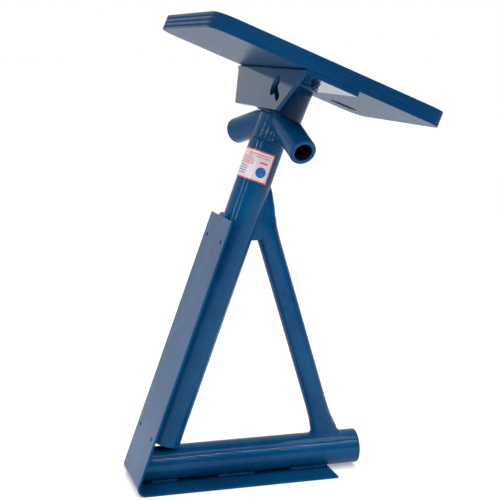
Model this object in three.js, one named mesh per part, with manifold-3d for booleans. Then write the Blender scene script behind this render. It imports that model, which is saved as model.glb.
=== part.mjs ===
// Screw-jack support stand: a welded tube triangle on a bent flat bar, a T-handled nut on the
// leaning post, and a plywood pad on an angle bracket that swivels on top of the jack screw.
// Millimetres. +X runs along the base tube, Y across the stand (-Y is the near side), +Z up.
import * as THREE from 'three';
import Module from 'manifold-3d';

const wasm = await Module();
wasm.setup();

// ---------------------------------------------------------------- driving dimensions
const DEG = Math.PI / 180;
const GAP = 0.3;                 // clearance between pieces that touch on the real stand

const POST_LEAN = 20.3 * DEG;    // the post leans this far from upright
const PIPE_R = 21.1;             // post and base tube, outside radius
const PIPE_BORE_R = 17.5;
const BAR_T = 2.6;               // bent flat bar: thickness, width, outer bend radius
const BAR_W = 94;
const BAR_BEND_R = 10;
const BAR_SIDE_L = 341;          // leg beside the post, from the virtual corner
const BAR_BASE_L = 251;          // leg under the base tube
const BAR_HOLE_R = 2.5;
const BAR_HOLE_S = [69, 313.5];  // hole rows along the side leg
const BAR_HOLE_Y = 32.5;

const POST_S0 = 62;              // post ends, measured along its axis
const POST_S1 = 438;
const BASE_X1 = 288.2;           // free end of the base tube

const BRACE_WALL = 2.9;          // brace tube with both ends pressed flat
const BRACE_LEAN = -16.3 * DEG;
const BRACE_X0 = 261;            // where the brace axis would meet the floor

const APEX_Z = 289.8;            // underside of the weld that fills the top of the triangle

const LABEL_S = [392, 428.5];    // wrap-around label on the post
const LABEL_ANGLE = [66, 190];
const LABEL_T = 0.3;

const SCREW_LEAN = 2.64 * DEG;   // play of the screw: it leans this much more than the post
const SCREW_S = 423.4;           // where the screw axis crosses the post axis
const SCREW_R = 12.7;
const SCREW_K0 = -98;            // lower end of the screw, along its own axis
const NUT_BORE_R = 13.05;
const HUB_R = 21.1;
const HUB_K = [16.4, 48.9];      // underside and top face of the nut
const PILOT_R = 15.4;            // the nut's spigot inside the post
const PILOT_K0 = 6;
const ARM_R = 15.9;
const ARM_BORE_R = 10;
const ARM_BORE_L = 52;
const ARM_L = 84.2;
const ARM_DROOP = 22.7 * DEG;
const ARM_YAW = 15.1 * DEG;
const ARM_RIM = 2.6;
const ARM_BELOW_PAD = 48.7;      // arm axes meet the screw axis this far under the pad

const PAD_K = 99.9;              // underside of the pad along the screw axis
const PAD_U = [-145, 141.8];     // pad extent each side of the screw axis
const PAD_Y = 135.7;
const PAD_T = 18;
const PAD_CORNER_R = 27;

const WEB_U = [-32.6, 33.4];     // bracket web under the pad
const WEB_Y = 135.4;
const WEB_T = 5.5;
const FLANGE_T = 4.5;
const FLANGE_H = 49.5;
const FLANGE_TOP_Y = 131;
const FLANGE_FOOT_Y = 85;
const BRACKET_BEND_R = 3;
const KEYHOLE = { y: -48.5, h: -22.2, r: 11.8, slotR: 4.2, endY: -76, endH: -36.2 };

const SOCKET_R = 27.7;           // socket tube under the web
const SOCKET_BORE_R = 23.2;
const SOCKET_H = 50;
const COLLAR_R = 22.4;           // thrust collar on the screw's top
const COLLAR_T = 10;
const RING_BORE_R = 13.4;        // keeper ring in the socket's mouth
const RING_T = 6;

const BOLT_Y = 85;               // two carriage bolts through pad and web
const BOLT_R = 2.6;
const BOLT_HOLE_R = 3.1;
const BOLT_L = 14;               // below the underside of the pad
const BOLT_HEAD_R = 6.5;
const BOLT_HEAD_H = 3;
const BOLT_SINK = 4;             // the heads sit in recesses this deep in the pad's top
const WASHER_R = 5.5;
const WASHER_T = 1.2;
const NUT_R = 4.9;               // across corners, halved
const NUT_T = 4;

const BASE_SEAMS = [[26, 60], [108, 156], [200, 247]];   // stitch welds along base tube and post
const POST_SEAMS = [[92, 130], [200, 240], [292, 330]];

const PAINT = 0x14618c;

// ---------------------------------------------------------------- solids
const toSolid = (geometry) => {
  const g = geometry.clone();
  g.deleteAttribute('normal');
  g.deleteAttribute('uv');
  const key = new Map();
  const verts = [];
  const p = g.attributes.position;
  const ids = [];
  for (let i = 0; i < p.count; i += 1) {
    const v = [p.getX(i), p.getY(i), p.getZ(i)];
    const k = v.map((x) => Math.round(x * 1e4)).join();
    if (!key.has(k)) {
      key.set(k, verts.length / 3);
      verts.push(...v);
    }
    ids.push(key.get(k));
  }
  const order = g.index ? Array.from(g.index.array, (i) => ids[i]) : ids;
  const tris = [];
  for (let i = 0; i < order.length; i += 3) {
    const [a, b, c] = order.slice(i, i + 3);
    if (a !== b && b !== c && a !== c) tris.push(a, b, c);
  }
  return new wasm.Manifold(new wasm.Mesh({
    numProp: 3,
    vertProperties: new Float32Array(verts),
    triVerts: new Uint32Array(tris),
  }));
};

const toGeometry = (solid) => {
  const m = solid.getMesh();
  const g = new THREE.BufferGeometry();
  const pos = new Float32Array((m.vertProperties.length / m.numProp) * 3);
  for (let i = 0; i < pos.length / 3; i += 1) {
    for (let j = 0; j < 3; j += 1) pos[i * 3 + j] = m.vertProperties[i * m.numProp + j];
  }
  g.setAttribute('position', new THREE.BufferAttribute(pos, 3));
  g.setIndex(Array.from(m.triVerts));
  return g;
};

// Placing frames: the post frame has its origin on the post axis, the head frame on the screw axis.
const unit = (x, y, z) => new THREE.Vector3(x, y, z).normalize();
const postUp = unit(Math.sin(POST_LEAN), 0, Math.cos(POST_LEAN));
const postSide = unit(Math.cos(POST_LEAN), 0, -Math.sin(POST_LEAN));
const across = unit(0, 1, 0);
const postFoot = postSide.clone().multiplyScalar(BAR_T + PIPE_R);
const frameOf = (x, y, z, o) => new THREE.Matrix4().makeBasis(x, y, z).setPosition(o);
const postFrame = frameOf(postSide, across, postUp, postFoot);
const barFrame = frameOf(postSide, across, postUp, new THREE.Vector3());
const screwFrame = postFrame.clone()
  .multiply(new THREE.Matrix4().makeTranslation(0, 0, SCREW_S))
  .multiply(new THREE.Matrix4().makeRotationY(SCREW_LEAN));
const padFrame = screwFrame.clone().multiply(new THREE.Matrix4().makeTranslation(0, 0, PAD_K));
const braceUp = unit(Math.sin(BRACE_LEAN), 0, Math.cos(BRACE_LEAN));
const braceSide = unit(Math.cos(BRACE_LEAN), 0, -Math.sin(BRACE_LEAN));
const braceFrame = frameOf(braceSide, across, braceUp, new THREE.Vector3(BRACE_X0, 0, 0));
const baseFrame = frameOf(unit(0, 1, 0), unit(0, 0, 1), unit(1, 0, 0),
  new THREE.Vector3(0, 0, BAR_T + PIPE_R));
const baseSeat = frameOf(unit(0, 0, 1), unit(0, 1, 0), unit(-1, 0, 0),
  new THREE.Vector3(0, 0, BAR_T + PIPE_R));
// Turns a side view drawn in a frame's X-Z plane into an extrusion across it.
const sideView = frameOf(unit(1, 0, 0), unit(0, 0, 1), unit(0, -1, 0), new THREE.Vector3());
const shift = (x, y, z) => new THREE.Matrix4().makeTranslation(x, y, z);
const quarterTurnY = () => new THREE.Matrix4().makeRotationY(Math.PI / 2);

const placed = (geometry, frame) => toSolid(geometry.clone().applyMatrix4(frame));

// A round bar along the frame's Z axis from z0 to z1, and the same drilled through.
const rod = (r, z0, z1, frame, segments = 40) => {
  const g = new THREE.CylinderGeometry(r, r, z1 - z0, segments, 1);
  g.rotateX(Math.PI / 2);
  g.translate(0, 0, (z0 + z1) / 2);
  return placed(g, frame);
};
const pipe = (r, bore, z0, z1, frame, segments = 40) =>
  rod(r, z0, z1, frame, segments).subtract(rod(bore, z0 - 1, z1 + 1, frame, segments));
const block = (x, y, z, frame) => {
  const g = new THREE.BoxGeometry(x[1] - x[0], y[1] - y[0], z[1] - z[0]);
  g.translate((x[0] + x[1]) / 2, (y[0] + y[1]) / 2, (z[0] + z[1]) / 2);
  return placed(g, frame);
};
// A turned shape: (radius, height) points from the axis and back to it.
const turned = (points, frame, segments = 40) =>
  placed(new THREE.LatheGeometry(points.map(([r, z]) => new THREE.Vector2(r, z)), segments)
    .rotateX(Math.PI / 2), frame);
// A flat outline, or list of its corners, in the frame's X-Y plane, extruded from z0 to z1.
const extruded = (flat, z0, z1, frame) => {
  const shape = flat instanceof THREE.Shape ? flat
    : new THREE.Shape(flat.map(([x, y]) => new THREE.Vector2(x, y)));
  const g = new THREE.ExtrudeGeometry(shape, {
    depth: z1 - z0, bevelEnabled: false, curveSegments: 8,
  });
  g.translate(0, 0, z0);
  return placed(g, frame);
};
// A solid skinned through rings of points, lowest first, all with the same number of points.
const loft = (rings, frame) => {
  const n = rings[0].length;
  const idx = [];
  for (let i = 0; i + 1 < rings.length; i += 1) {
    for (let j = 0; j < n; j += 1) {
      const a = i * n + j;
      const b = i * n + ((j + 1) % n);
      idx.push(a, b, b + n, a, b + n, a + n);
    }
  }
  const last = (rings.length - 1) * n;
  for (let j = 1; j + 1 < n; j += 1) {
    idx.push(0, j + 1, j);
    idx.push(last, last + j, last + j + 1);
  }
  const g = new THREE.BufferGeometry();
  g.setAttribute('position', new THREE.Float32BufferAttribute(rings.flat(2), 3));
  g.setIndex(idx);
  return placed(g, frame);
};
const ellipse = (a, b, z, n = 32) => Array.from({ length: n }, (_, i) => {
  const t = (i / n) * 2 * Math.PI;
  return [a * Math.cos(t), b * Math.sin(t), z];
});

// ---------------------------------------------------------------- welded frame
const postKeepOut = () => rod(PIPE_R + GAP, 0, 480, postFrame, 48);
const baseKeepOut = () => rod(PIPE_R + GAP, -30, 320, baseFrame, 48);

// Side view of the bar, down the side leg, round the bend and along the base leg.
function barOutline(thickness, outerR = BAR_BEND_R) {
  const reach = BAR_BEND_R / Math.tan((Math.PI / 2 - POST_LEAN) / 2);
  const arc = (r) => Array.from({ length: 9 }, (_, i) => {
    const a = Math.PI - POST_LEAN + (i / 8) * (Math.PI / 2 + POST_LEAN);
    return [reach + r * Math.cos(a), BAR_BEND_R + r * Math.sin(a)];
  });
  const top = postUp.clone().multiplyScalar(BAR_SIDE_L);
  const topIn = top.clone().addScaledVector(postSide, thickness);
  return [[top.x, top.z], ...arc(outerR), [BAR_BASE_L, 0], [BAR_BASE_L, thickness],
    ...arc(BAR_BEND_R - thickness).reverse(), [topIn.x, topIn.z]];
}

function bentBar() {
  let bar = extruded(barOutline(BAR_T), -BAR_W / 2, BAR_W / 2, sideView);
  for (const s of BAR_HOLE_S) {
    for (const y of [-BAR_HOLE_Y, BAR_HOLE_Y]) {
      const at = barFrame.clone().multiply(shift(0, y, s)).multiply(quarterTurnY());
      bar = bar.subtract(rod(BAR_HOLE_R, -5, 10, at, 16));
    }
  }
  return bar;
}

const postTube = () => pipe(PIPE_R, PIPE_BORE_R, POST_S0, POST_S1, postFrame, 48)
  .subtract(baseKeepOut())
  .subtract(block([-60, -PIPE_R + GAP], [-60, 60], [0, BAR_SIDE_L + 1], postFrame));

const baseTube = () => pipe(PIPE_R, PIPE_BORE_R, -20, BASE_X1, baseFrame, 48)
  .subtract(block([-90, BAR_T + GAP], [-60, 60], [-60, 400], barFrame))
  .subtract(extruded(barOutline(BAR_T + GAP, BAR_BEND_R + 3), -60, 60, sideView))
  .subtract(block([-20, BAR_BASE_L + 1], [-60, 60], [-20, BAR_T + GAP], new THREE.Matrix4()));

// Half-widths of the brace along its length: in the frame's plane, then across it.
const BRACE_SHAPE = [
  [20, 17.6, 8.4], [50, 17.0, 9.2], [58, 15.4, 11.4], [70, 13.9, 12.8], [86, 13.3, 13.3],
  [296, 13.3, 13.3], [312, 14.0, 12.8], [326, 16.0, 11.2], [340, 18.4, 9.0], [354, 20.2, 7.2],
  [372, 20.8, 6.4], [410, 20.8, 6.4],
];
const braceSkin = (grow) => loft(
  BRACE_SHAPE.map(([z, a, b]) => ellipse(a + grow, b + grow, z)), braceFrame);
const braceTube = () => braceSkin(0).subtract(braceSkin(-BRACE_WALL))
  .subtract(baseKeepOut())
  .subtract(postKeepOut())
  .subtract(block([-400, 0], [-60, 60], [0, 600], postFrame))
  .subtract(block([0, 400], [-60, 60], [-100, BAR_T + PIPE_R], new THREE.Matrix4()));

// A fillet bead in the groove where a tube lies on the bar, on one side of it.
function seamBead(side, z0, z1, frame) {
  const r = PIPE_R + GAP;
  const seat = -PIPE_R + GAP;
  const on = (y) => -Math.sqrt(r * r - y * y);
  const points = [[seat, 6], [on(6), 6], [on(9), 9], [on(12), 12], [seat + 2.4, 13.6], [seat, 14.4]];
  const ring = points.map(([x, y]) => [x, side * y]);
  return extruded(side > 0 ? ring : ring.reverse(), z0, z1, frame);
}

function footBead() {
  const blob = new THREE.SphereGeometry(1, 16, 10).scale(6, 9, 3.4);
  const at = new THREE.Matrix4().makeTranslation(65.5, 0, 2 * PIPE_R + BAR_T + 0.2);
  return placed(blob, at).subtract(postKeepOut()).subtract(baseKeepOut());
}

function braceFootBead() {
  const collar = loft([
    ellipse(20.6, 11.6, 38), ellipse(20.6, 11.6, 47.2), ellipse(18.4, 9.4, 50.4),
  ], braceFrame);
  return collar.subtract(braceSkin(GAP)).subtract(baseKeepOut())
    .subtract(block([0, 400], [-60, 60], [-100, 36], new THREE.Matrix4()));
}

function apexBead() {
  const wedge = extruded([[140, APEX_Z], [172, APEX_Z], [172, 306], [140, 306]], -6.5, 6.5,
    sideView);
  return wedge.subtract(postKeepOut()).subtract(braceSkin(GAP));
}

// A bead over the top edge of the side leg, against the post.
function barTopBead() {
  const blob = new THREE.SphereGeometry(1, 16, 10).scale(5, 15, 5);
  const at = barFrame.clone().multiply(shift(BAR_T + 1, 0, BAR_SIDE_L + 1));
  return placed(blob, at).subtract(postKeepOut())
    .subtract(block([-20, 20], [-60, 60], [0, BAR_SIDE_L + GAP], barFrame));
}

function label() {
  const [a0, a1] = LABEL_ANGLE.map((a) => -a * DEG);
  const r0 = PIPE_R + GAP;
  const arc = (r, from, to) => Array.from({ length: 21 }, (_, i) => {
    const a = from + ((to - from) * i) / 20;
    return [r * Math.cos(a), r * Math.sin(a)];
  });
  return extruded([...arc(r0, a0, a1), ...arc(r0 + LABEL_T, a1, a0)].reverse(),
    LABEL_S[0], LABEL_S[1], postFrame);
}

// ---------------------------------------------------------------- T-handled nut
// Arm frames: Z runs out along the drooping arm from the screw axis.
function armFrame(side) {
  const turn = new THREE.Matrix4().makeRotationZ(side * Math.PI / 2 + ARM_YAW);
  const tip = new THREE.Matrix4().makeRotationY(Math.PI / 2 + ARM_DROOP);
  return padFrame.clone().multiply(shift(0, 0, -ARM_BELOW_PAD)).multiply(turn).multiply(tip);
}

function handleNut() {
  const rim = Array.from({ length: 5 }, (_, i) => {
    const a = (i / 4) * (Math.PI / 2);
    return [ARM_R - ARM_RIM + ARM_RIM * Math.cos(a), ARM_L - ARM_RIM + ARM_RIM * Math.sin(a)];
  });
  const arm = [[0, 0], [ARM_R, 0], ...rim, [ARM_BORE_R + 0.8, ARM_L], [ARM_BORE_R, ARM_L - 0.8],
    [ARM_BORE_R, ARM_L - ARM_BORE_L], [0, ARM_L - ARM_BORE_L - 4]];
  let nut = turned([[0, PILOT_K0], [PILOT_R, PILOT_K0], [PILOT_R, HUB_K[0]], [HUB_R - 0.8, HUB_K[0]],
    [HUB_R, HUB_K[0] + 0.8], [HUB_R, HUB_K[1]], [0, HUB_K[1]]], screwFrame, 48);
  for (const side of [-1, 1]) nut = nut.add(turned(arm, armFrame(side), 40));
  return nut
    .subtract(block([-120, 120], [-120, 120], [HUB_K[1], HUB_K[1] + 60], screwFrame))
    .subtract(rod(NUT_BORE_R, 0, 60, screwFrame));
}

// ---------------------------------------------------------------- jack screw
const jackScrew = () => turned([[0, SCREW_K0], [SCREW_R - 1.5, SCREW_K0], [SCREW_R, SCREW_K0 + 1.5],
  [SCREW_R, PAD_K - WEB_T - 1.2], [0, PAD_K - WEB_T - 1.2]], screwFrame);

function thrustCollar() {
  const top = PAD_K - WEB_T - GAP;
  return pipe(COLLAR_R, SCREW_R + GAP, top - COLLAR_T, top, screwFrame);
}

// ---------------------------------------------------------------- swivel head
const socketTube = () => pipe(SOCKET_R, SOCKET_BORE_R, -SOCKET_H, -WEB_T - GAP, padFrame, 48);
const keeperRing = () =>
  pipe(SOCKET_BORE_R - GAP, RING_BORE_R, -SOCKET_H + 1, -SOCKET_H + 1 + RING_T, padFrame, 40);

function socketBead() {
  const r = SOCKET_R + GAP;
  const top = -WEB_T - GAP;
  return turned([[r, top - 4.5], [r + 0.8, top - 4.2], [r + 4.2, top - 0.8], [r + 4.5, top],
    [r, top], [r, top - 4.5]], padFrame, 48)
    .subtract(block([-90, WEB_U[0] + FLANGE_T + GAP], [-90, 90], [-90, 0], padFrame));
}

function bracket() {
  const u0 = WEB_U[0];
  const r = BRACKET_BEND_R;
  const bend = Array.from({ length: 5 }, (_, i) => {
    const a = Math.PI / 2 + (i / 4) * (Math.PI / 2);
    return [u0 + r + r * Math.cos(a), -r + r * Math.sin(a)];
  });
  const section = [[WEB_U[1], -WEB_T], [WEB_U[1], 0], ...bend, [u0, -FLANGE_H],
    [u0 + FLANGE_T, -FLANGE_H], [u0 + FLANGE_T, -WEB_T]];
  let plate = extruded(section, -WEB_Y, WEB_Y, padFrame.clone().multiply(sideView));
  const ends = frameOf(across, unit(0, 0, 1), unit(1, 0, 0), new THREE.Vector3());
  for (const side of [-1, 1]) {
    const corner = [[side * FLANGE_TOP_Y, -WEB_T - 0.01], [side * 200, -WEB_T - 0.01],
      [side * 200, -FLANGE_H - 5], [side * (FLANGE_FOOT_Y - 4.5), -FLANGE_H - 5]];
    plate = plate.subtract(extruded(side > 0 ? corner.reverse() : corner, u0 - 5,
      u0 + FLANGE_T + 0.01, padFrame.clone().multiply(ends)));
    plate = plate.subtract(rod(BOLT_HOLE_R, -20, 5, boltFrame(side), 20));
  }
  const k = KEYHOLE;
  const through = padFrame.clone().multiply(shift(u0 - 5, 0, 0)).multiply(ends);
  const round = (y, h, radius) => rod(radius, 0, 15, through.clone().multiply(shift(y, h, 0)), 24);
  const run = Math.hypot(k.endY - k.y, k.endH - k.h);
  const slope = Math.atan2(k.endH - k.h, k.endY - k.y);
  const slot = block([0, run], [-k.slotR, k.slotR], [0, 15], through.clone()
    .multiply(shift(k.y, k.h, 0)).multiply(new THREE.Matrix4().makeRotationZ(slope)));
  return plate.subtract(round(k.y, k.h, k.r)).subtract(round(k.endY, k.endH, k.slotR))
    .subtract(slot);
}

const boltFrame = (side) => padFrame.clone().multiply(shift(0, side * BOLT_Y, 0));

function padBoard() {
  const [u0, u1] = PAD_U;
  const r = PAD_CORNER_R;
  const s = new THREE.Shape();
  s.moveTo(u0 + r, -PAD_Y);
  s.lineTo(u1 - r, -PAD_Y);
  s.absarc(u1 - r, -PAD_Y + r, r, -Math.PI / 2, 0);
  s.lineTo(u1, PAD_Y - r);
  s.absarc(u1 - r, PAD_Y - r, r, 0, Math.PI / 2);
  s.lineTo(u0 + r, PAD_Y);
  s.absarc(u0 + r, PAD_Y - r, r, Math.PI / 2, Math.PI);
  s.lineTo(u0, -PAD_Y + r);
  s.absarc(u0 + r, -PAD_Y + r, r, Math.PI, 1.5 * Math.PI);
  let board = extruded(s, GAP, GAP + PAD_T, padFrame);
  for (const side of [-1, 1]) {
    board = board.subtract(rod(BOLT_HOLE_R, -5, 40, boltFrame(side), 20))
      .subtract(rod(BOLT_HEAD_R + 0.5, GAP + PAD_T - BOLT_SINK, 40, boltFrame(side), 24));
  }
  return board;
}


// A carriage bolt: round head sunk in the pad's top, shank down through pad and web.
function padBolt(side) {
  const seat = PAD_T + 2 * GAP - BOLT_SINK;
  const dome = [1, 0.86, 0.5].map((f, i) => [BOLT_HEAD_R * f, seat + (BOLT_HEAD_H * i) / 2.5]);
  return turned([[0, -BOLT_L], [BOLT_R - 0.6, -BOLT_L], [BOLT_R, -BOLT_L + 0.6], [BOLT_R, seat],
    ...dome, [0, seat + BOLT_HEAD_H]], boltFrame(side), 24);
}
const washerTop = -WEB_T - GAP;
const nutTop = washerTop - WASHER_T - GAP;
const boltWasher = (side) =>
  pipe(WASHER_R, BOLT_R + GAP, washerTop - WASHER_T, washerTop, boltFrame(side), 24);
const boltNut = (side) => rod(NUT_R, nutTop - NUT_T, nutTop, boltFrame(side), 6)
  .subtract(rod(BOLT_R + GAP, nutTop - 2 * NUT_T, 0, boltFrame(side), 24));

// ---------------------------------------------------------------- assembly
const group = new THREE.Group();
const steel = { color: PAINT, roughness: 0.25, metalness: 0.1 };
const zinc = { color: 0x9a9fa3, roughness: 0.4, metalness: 0.9 };
const bareSteel = { color: 0x6d6f70, roughness: 0.45, metalness: 0.9 };
const node = (name, solid, look) => {
  const mesh = new THREE.Mesh(toGeometry(solid), new THREE.MeshStandardMaterial(look));
  mesh.name = name;
  group.add(mesh);
};

node('bent_bar', bentBar(), steel);
node('post_tube', postTube(), steel);
node('base_tube', baseTube(), steel);
node('brace_tube', braceTube(), steel);
const sides = [['near', -1], ['far', 1]];
for (const [word, side] of sides) {
  BASE_SEAMS.forEach(([x0, x1], i) => node(`base_seam_${word}_${i + 1}`,
    seamBead(side, -x1, -x0, baseSeat), steel));
  POST_SEAMS.forEach(([s0, s1], i) => node(`post_seam_${word}_${i + 1}`,
    seamBead(side, s0, s1, postFrame), steel));
}
node('post_foot_bead', footBead(), steel);
node('brace_foot_bead', braceFootBead(), steel);
node('apex_bead', apexBead(), steel);
node('bar_top_bead', barTopBead(), steel);
node('label', label(), { color: 0xe8e6e2, roughness: 0.45, metalness: 0 });
node('handle_nut', handleNut(), steel);
node('jack_screw', jackScrew(), bareSteel);
node('thrust_collar', thrustCollar(), bareSteel);
node('socket_tube', socketTube(), steel);
node('keeper_ring', keeperRing(), steel);
node('socket_bead', socketBead(), steel);
node('bracket', bracket(), steel);
node('pad_board', padBoard(), { color: 0x1b5e8a, roughness: 0.35, metalness: 0 });
for (const [word, side] of sides) {
  node(`pad_bolt_${word}`, padBolt(side), zinc);
  node(`bolt_washer_${word}`, boltWasher(side), zinc);
  node(`bolt_nut_${word}`, boltNut(side), zinc);
}

// Centre the stand over its origin, standing on z = 0.
const box = new THREE.Box3().setFromObject(group);
const centre = box.getCenter(new THREE.Vector3());
group.children.forEach((m) => m.geometry.translate(-centre.x, -centre.y, -box.min.z));

export default group;
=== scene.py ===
"""Looks of a screw-jack support stand: painted tube triangle, cast T-nut and plywood pad.

Metres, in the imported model's frame. Each piece is drawn in the frame of the member that it
sits on, then moved to its place.
"""
import math

import bmesh
import bpy
from mathutils import Matrix, Vector


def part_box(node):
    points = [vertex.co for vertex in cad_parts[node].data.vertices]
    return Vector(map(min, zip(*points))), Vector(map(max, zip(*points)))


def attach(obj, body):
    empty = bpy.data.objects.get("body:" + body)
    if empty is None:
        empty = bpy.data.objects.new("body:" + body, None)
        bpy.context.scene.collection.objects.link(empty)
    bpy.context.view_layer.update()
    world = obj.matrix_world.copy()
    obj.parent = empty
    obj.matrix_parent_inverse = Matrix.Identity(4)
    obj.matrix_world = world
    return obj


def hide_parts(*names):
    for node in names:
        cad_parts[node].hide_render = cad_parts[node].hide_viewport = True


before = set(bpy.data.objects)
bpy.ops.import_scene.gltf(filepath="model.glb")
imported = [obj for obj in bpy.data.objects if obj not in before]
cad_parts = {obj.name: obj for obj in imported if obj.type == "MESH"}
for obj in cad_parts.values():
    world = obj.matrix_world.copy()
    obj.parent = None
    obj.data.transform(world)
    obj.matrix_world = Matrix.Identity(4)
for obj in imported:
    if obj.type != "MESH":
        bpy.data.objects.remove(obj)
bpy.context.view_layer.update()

# ---------------------------------------------------------------- driving dimensions
POST_LEAN = math.radians(20.3)
PIPE_R = 0.0211
PIPE_BORE = 0.0175
POST_ENDS = (0.062, 0.438)          # along the post from the bar's virtual corner
BASE_END = 0.2882                   # free end of the base tube from the same corner
TOUCH = 0.0003                      # play drawn between pieces that touch
BEYOND = 0.06                       # how far cutters reach past a member's sides
MM = 1000.0                         # millimetres in a metre, for the materials' coordinates

BAR_T = 0.0026
BAR_W = 0.094
BAR_BEND = 0.010
BAR_SIDE = 0.341
BAR_BASE = 0.251
BAR_HOLE_R = 0.0025
BAR_HOLE_ROWS = (0.069, 0.3135)
BAR_HOLE_Y = 0.0325

BRACE_LEAN = math.radians(-16.3)
BRACE_X = 0.261
BRACE_WALL = 0.0029
BRACE_SHAPE = (                     # height, half-width in the triangle's plane, across it
    (0.020, 0.0176, 0.0084), (0.050, 0.0170, 0.0092), (0.058, 0.0154, 0.0114),
    (0.070, 0.0139, 0.0128), (0.086, 0.0133, 0.0133), (0.296, 0.0133, 0.0133),
    (0.312, 0.0140, 0.0128), (0.326, 0.0160, 0.0112), (0.340, 0.0184, 0.0090),
    (0.354, 0.0202, 0.0072), (0.372, 0.0208, 0.0064), (0.410, 0.0208, 0.0064),
)

BASE_SEAMS = ((0.026, 0.060), (0.108, 0.156), (0.200, 0.247))
POST_SEAMS = ((0.092, 0.130), (0.200, 0.240), (0.292, 0.330))
STITCH_R = 0.0031
STITCH_AT = (0.0191, 0.0100)        # from the tube's axis: towards the bar, and to the side
JOINT_WELD_R = 0.0021
FOOT_WELD_ANGLES = (-26, 26)
TOP_WELD_HALF = 0.0135
CREASE_R = 0.0013
CREASE_Z = (0.318, 0.360)
APEX_Z = 0.2898
APEX_HALF = 0.0098
SOCKET_WELD_R = 0.0026

LABEL_S = (0.392, 0.4285)
LABEL_ANGLES = (math.radians(66), math.radians(190))

SCREW_LEAN = math.radians(2.64)
SCREW_S = 0.4234
SCREW_R = 0.0127
SCREW_FOOT = -0.098
THREAD_LEAD = 0.00508
THREAD_DEPTH = 0.0024
NUT_BORE = 0.01305
HUB_R = 0.0211
HUB_K = (0.0164, 0.0489)
HUB_LAND = 0.0007                   # machined land that nearly closes the gap to the socket
MARK_SIZE = (0.0028, 0.0022, 0.0011, 1)
MARK_COLUMNS = ((-139, 8), (-122, 6), (-109, 5), (-98, 4))     # angle round the hub, rows
MARK_PITCH = 0.0024
PILOT_R = 0.0154
PILOT_K = 0.006
ARM_R = 0.0159
ARM_BORE = 0.010
ARM_BORE_DEPTH = 0.052
ARM_L = 0.0842
ARM_DROOP = math.radians(22.7)
ARM_YAW = math.radians(15.1)
ARM_RIM = 0.0026
ARM_BELOW_PAD = 0.0487

PAD_K = 0.0999
PAD_U = (-0.145, 0.1418)
PAD_Y = 0.1357
PAD_T = 0.018
PAD_CORNER = 0.027
PLIES = 7
DARK_OVAL_AT = (98.0, 80.0)              # millimetres in the pad's frame
DARK_OVAL_SIZE = (19.0, 14.0)

WEB_U = (-0.0326, 0.0334)
WEB_Y = 0.1354
WEB_T = 0.0055
FLANGE_T = 0.0045
FLANGE_H = 0.0495
FLANGE_TOP_Y = 0.131
FLANGE_FOOT_Y = 0.085
BRACKET_BEND = 0.003
KEYHOLE_Y, KEYHOLE_H, KEYHOLE_R = -0.0485, -0.0222, 0.0118
SLOT_Y, SLOT_H, SLOT_R = -0.076, -0.0362, 0.0042

SOCKET_R = 0.0277
SOCKET_BORE = 0.0232
SOCKET_H = 0.050
RING_BORE = 0.0134
RING_T = 0.006
COLLAR_R = 0.0224
COLLAR_T = 0.010

BOLT_Y = 0.085
BOLT_R = 0.0026
BOLT_HOLE_R = 0.0031
BOLT_L = 0.014
BOLT_HEAD_R = 0.0065
BOLT_HEAD_H = 0.003
BOLT_SINK = 0.004
WASHER_R = 0.0055
WASHER_T = 0.0012
NUT_R = 0.0049
NUT_T = 0.004

CAMERA_PLACE = Vector((-0.4230, -1.4216, 0.5230))
CAMERA_YAW, CAMERA_DIP, CAMERA_ROLL = (math.radians(a) for a in (15.76, 9.44, 0.14))
CAMERA_LENS = 90.58


# ---------------------------------------------------------------- frames of the members
def axes(x, y, z, at):
    """A frame from its three directions and its origin."""
    turned_to = Matrix((x, y, z)).transposed().to_4x4()
    return Matrix.Translation(at) @ turned_to


def leaning(angle):
    """Directions of a member that leans in the triangle's plane: its side, and up along it."""
    return (Vector((math.cos(angle), 0, -math.sin(angle))),
            Vector((math.sin(angle), 0, math.cos(angle))))


ACROSS = Vector((0, 1, 0))
CORNER = Vector((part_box("base_tube")[1].x - BASE_END, 0, 0))
post_side, post_up = leaning(POST_LEAN)
brace_side, brace_up = leaning(BRACE_LEAN)
BAR = axes(post_side, ACROSS, post_up, CORNER)
POST = BAR @ Matrix.Translation((BAR_T + PIPE_R, 0, 0))
BRACE = axes(brace_side, ACROSS, brace_up, CORNER + Vector((BRACE_X, 0, 0)))
BASE = axes(ACROSS, Vector((0, 0, 1)), Vector((1, 0, 0)), CORNER + Vector((0, 0, BAR_T + PIPE_R)))
SCREW = POST @ Matrix.Translation((0, 0, SCREW_S)) @ Matrix.Rotation(SCREW_LEAN, 4, "Y")
PAD = SCREW @ Matrix.Translation((0, 0, PAD_K))


def arm_frame(side):
    """Z runs out along a drooping arm from the screw's axis."""
    return (PAD @ Matrix.Translation((0, 0, -ARM_BELOW_PAD))
            @ Matrix.Rotation(side * math.pi / 2 + ARM_YAW, 4, "Z")
            @ Matrix.Rotation(math.pi / 2 + ARM_DROOP, 4, "Y"))


# ---------------------------------------------------------------- shaping
def filleted(corners, steps=4):
    """Rounds the corners of a closed outline: each corner is (x, y, radius)."""
    outline = []
    count = len(corners)
    for i, (x, y, radius) in enumerate(corners):
        here = Vector((x, y))
        if not radius:
            outline.append(here)
            continue
        back = (Vector(corners[i - 1][:2]) - here).normalized()
        ahead = (Vector(corners[(i + 1) % count][:2]) - here).normalized()
        reach = radius / math.tan(back.angle(ahead) / 2)
        start, end = here + back * reach, here + ahead * reach
        for j in range(steps + 1):
            f = j / steps
            outline.append(start * (1 - f) ** 2 + here * (2 * f * (1 - f)) + end * f ** 2)
    return outline


def tidied(bm):
    """Merges doubles and turns every face outwards."""
    bmesh.ops.remove_doubles(bm, verts=bm.verts, dist=1e-6)
    bmesh.ops.recalc_face_normals(bm, faces=bm.faces)
    return bm


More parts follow.
